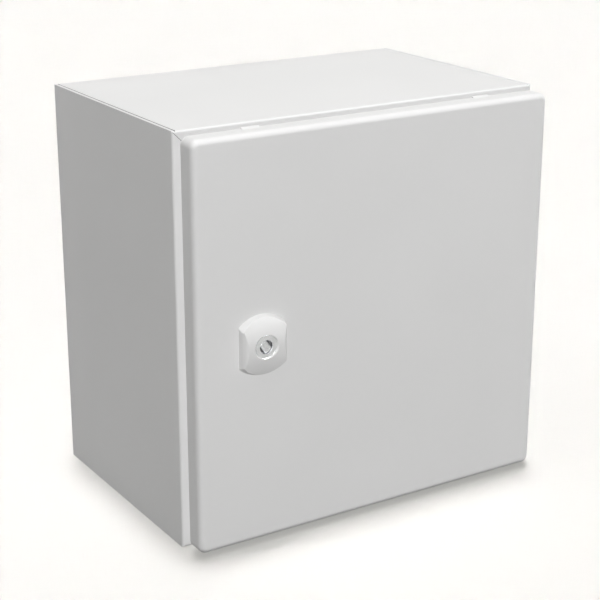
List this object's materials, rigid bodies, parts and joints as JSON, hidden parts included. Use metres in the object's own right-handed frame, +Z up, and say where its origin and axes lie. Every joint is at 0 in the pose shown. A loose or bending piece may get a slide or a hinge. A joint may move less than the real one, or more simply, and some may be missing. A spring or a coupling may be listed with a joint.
{
  "type": "electrical enclosure",
  "caption": "Wall-mounting sheet-steel box with a hinged, gasketed door, a quarter-turn lock, an inner mounting plate and a gland plate in its base.",
  "frame": {"origin": "middle of the four wall holes, on the outer rear face", "axes": "+Y into the wall, +Z up, +X to the right seen from the front"},
  "size_m": [0.3, 0.2178, 0.3],
  "materials": {
    "paint": "light grey textured powder coat on steel sheet",
    "lock_paint": "light grey semi-gloss paint on die-cast zinc",
    "nickel": "satin nickel plate",
    "zinc": "bright zinc plate on steel",
    "galvanised": "hot-dip galvanised sheet",
    "foam": "foamed polyurethane gasket"
  },
  "bodies": {
    "body": {"body_shell": "paint", "mounting_plate": "galvanised", "plate_studs": "zinc", "plate_spacers": "zinc", "plate_washers": "zinc", "plate_nuts": "zinc", "gland_plate": "paint", "gland_gasket": "foam", "gland_studs": "zinc", "gland_nuts": "zinc", "body_earth_stud": "zinc", "body_earth_nut": "zinc", "hinge_bracket_upper": "zinc", "hinge_bracket_lower": "zinc", "hinge_pin_upper": "nickel", "hinge_pin_lower": "nickel", "hinge_screws": "zinc", "hinge_nuts": "zinc"},
    "door": {"door_panel": "paint", "door_gasket": "foam", "hinge_leaf_upper": "zinc", "hinge_leaf_lower": "zinc", "leaf_studs": "zinc", "leaf_nuts": "zinc", "door_earth_stud": "zinc", "door_earth_nut": "zinc", "lock_housing": "lock_paint", "lock_seal": "foam", "lock_nut": "zinc"},
    "lock": {"lock_insert": "nickel", "lock_cam": "zinc", "cam_screw": "zinc"}
  },
  "joints": [
    {"name": "door_hinge", "type": "hinge", "parent": "body", "child": "door", "pos_m": [0.14675, -0.1915, 0], "axis": [0, 0, 1], "range_deg": [0, 130]},
    {"name": "lock_turn", "type": "hinge", "parent": "door", "child": "lock", "pos_m": [-0.097, -0.2, 0], "axis": [0, -1, 0], "range_deg": [0, 90]}
  ]
}
